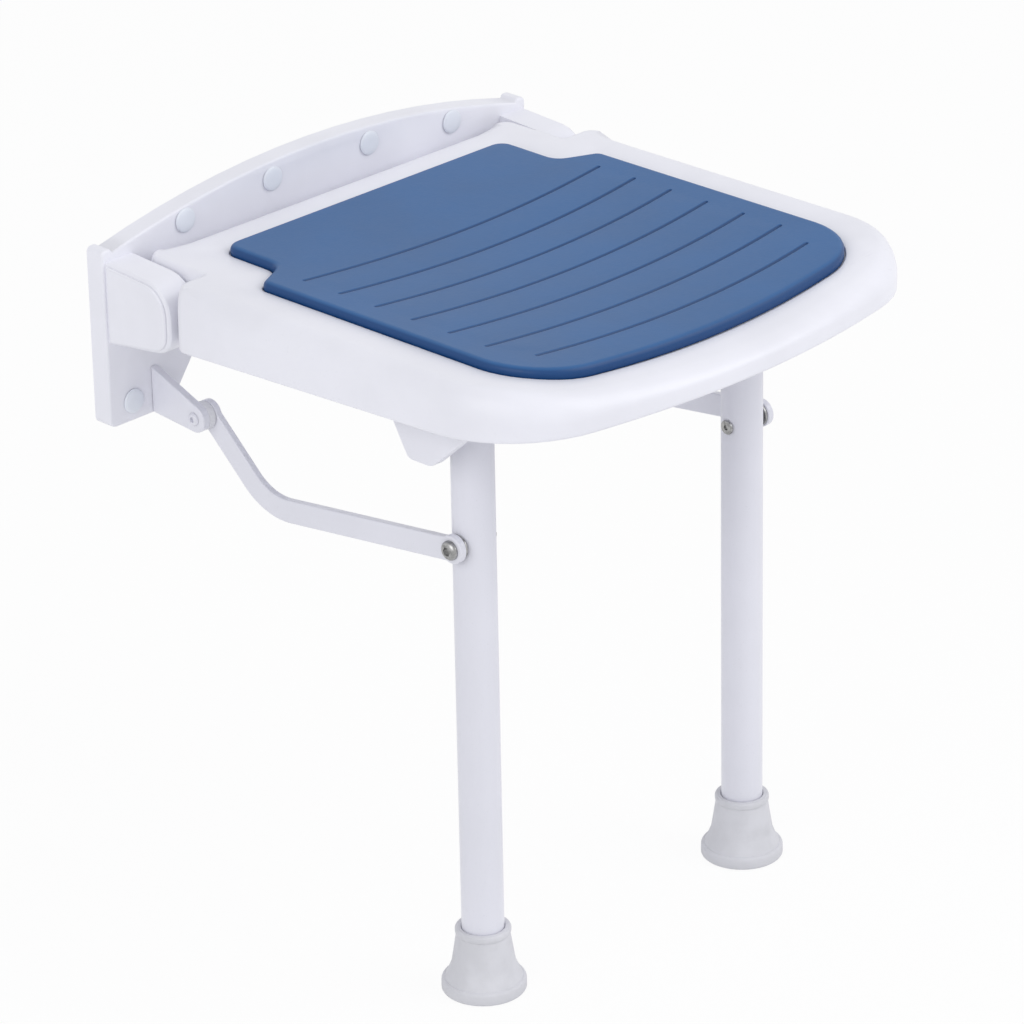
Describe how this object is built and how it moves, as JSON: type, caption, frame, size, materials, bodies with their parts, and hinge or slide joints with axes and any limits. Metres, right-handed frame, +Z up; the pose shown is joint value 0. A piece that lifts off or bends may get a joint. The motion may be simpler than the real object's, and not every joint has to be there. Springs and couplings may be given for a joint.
{
  "type": "wall-mounted folding shower seat",
  "caption": "Fold-up shower seat on a wall bracket, with a ribbed soft pad, drop-down legs steered by bent links, and rubber feet.",
  "frame": {"origin": "on the back of the wall bracket, on its centre line, level with the seat's hinge axis", "axes": "+Z up; +Y into the wall; -Y out into the room; +X to the right of someone facing the wall"},
  "size_m": [0.39, 0.4047, 0.4875],
  "materials": {
    "moulded_white": "smooth moulded plastic with a low gloss",
    "cap_white": "smooth glossy plastic",
    "coated_white": "smooth white powder coat",
    "pad_blue": "soft satin foam rubber skin",
    "foot_rubber": "matt white rubber",
    "bush_nylon": "plain nylon",
    "bright_steel": "bright plated steel"
  },
  "bodies": {
    "wall": {"wall_bracket": "moulded_white", "screw_cap_1": "cap_white", "screw_cap_2": "cap_white", "screw_cap_3": "cap_white", "screw_cap_4": "cap_white", "screw_cap_5": "cap_white", "screw_cap_6": "cap_white", "hinge_cover_left": "moulded_white", "hinge_cover_right": "moulded_white", "hinge_pin_left": "bright_steel", "hinge_pin_right": "bright_steel", "link_lug_left": "coated_white", "link_lug_right": "coated_white", "lug_screw_left": "bright_steel", "lug_screw_right": "bright_steel", "link_rivet_left": "bright_steel", "link_rivet_right": "bright_steel", "link_spacer_left": "bush_nylon", "link_spacer_right": "bush_nylon"},
    "seat": {"seat_shell": "moulded_white", "seat_pad": "pad_blue", "hinge_bush_left": "bush_nylon", "hinge_bush_right": "bush_nylon", "leg_pin_left": "bright_steel", "leg_pin_right": "bright_steel", "leg_spacer_left": "bush_nylon", "leg_spacer_right": "bush_nylon"},
    "leg_left": {"leg_tube_left": "coated_white", "leg_plug_left": "moulded_white", "leg_foot_left": "foot_rubber", "link_bolt_left": "bright_steel", "link_washer_left": "bright_steel", "link_nut_left": "bright_steel"},
    "link_left": {"link_bar_left": "coated_white"},
    "leg_right": {"leg_tube_right": "coated_white", "leg_plug_right": "moulded_white", "leg_foot_right": "foot_rubber", "link_bolt_right": "bright_steel", "link_washer_right": "bright_steel", "link_nut_right": "bright_steel"},
    "link_right": {"link_bar_right": "coated_white"}
  },
  "joints": [
    {"name": "seat_fold", "type": "hinge", "parent": "wall", "child": "seat", "pos_m": [0, -0.055, 0], "axis": [-1, 0, 0], "range_deg": [0, 90]},
    {"name": "leg_left_pivot", "type": "hinge", "parent": "seat", "child": "leg_left", "pos_m": [-0.126, -0.277, -0.029], "axis": [-1, 0, 0], "range_deg": [-90, 0]},
    {"name": "leg_right_pivot", "type": "hinge", "parent": "seat", "child": "leg_right", "pos_m": [0.126, -0.277, -0.029], "axis": [-1, 0, 0], "range_deg": [-90, 0]},
    {"name": "link_left_pivot", "type": "hinge", "parent": "wall", "child": "link_left", "pos_m": [-0.1422, -0.055, -0.088], "axis": [-1, 0, 0], "range_deg": [0, 90]},
    {"name": "link_right_pivot", "type": "hinge", "parent": "wall", "child": "link_right", "pos_m": [0.1422, -0.055, -0.088], "axis": [-1, 0, 0], "range_deg": [0, 90]}
  ],
  "couplings": [
    {"joint": "leg_left_pivot", "follows": "seat_fold", "ratio": -1},
    {"joint": "leg_right_pivot", "follows": "seat_fold", "ratio": -1},
    {"joint": "link_left_pivot", "follows": "seat_fold", "ratio": 1},
    {"joint": "link_right_pivot", "follows": "seat_fold", "ratio": 1}
  ]
}
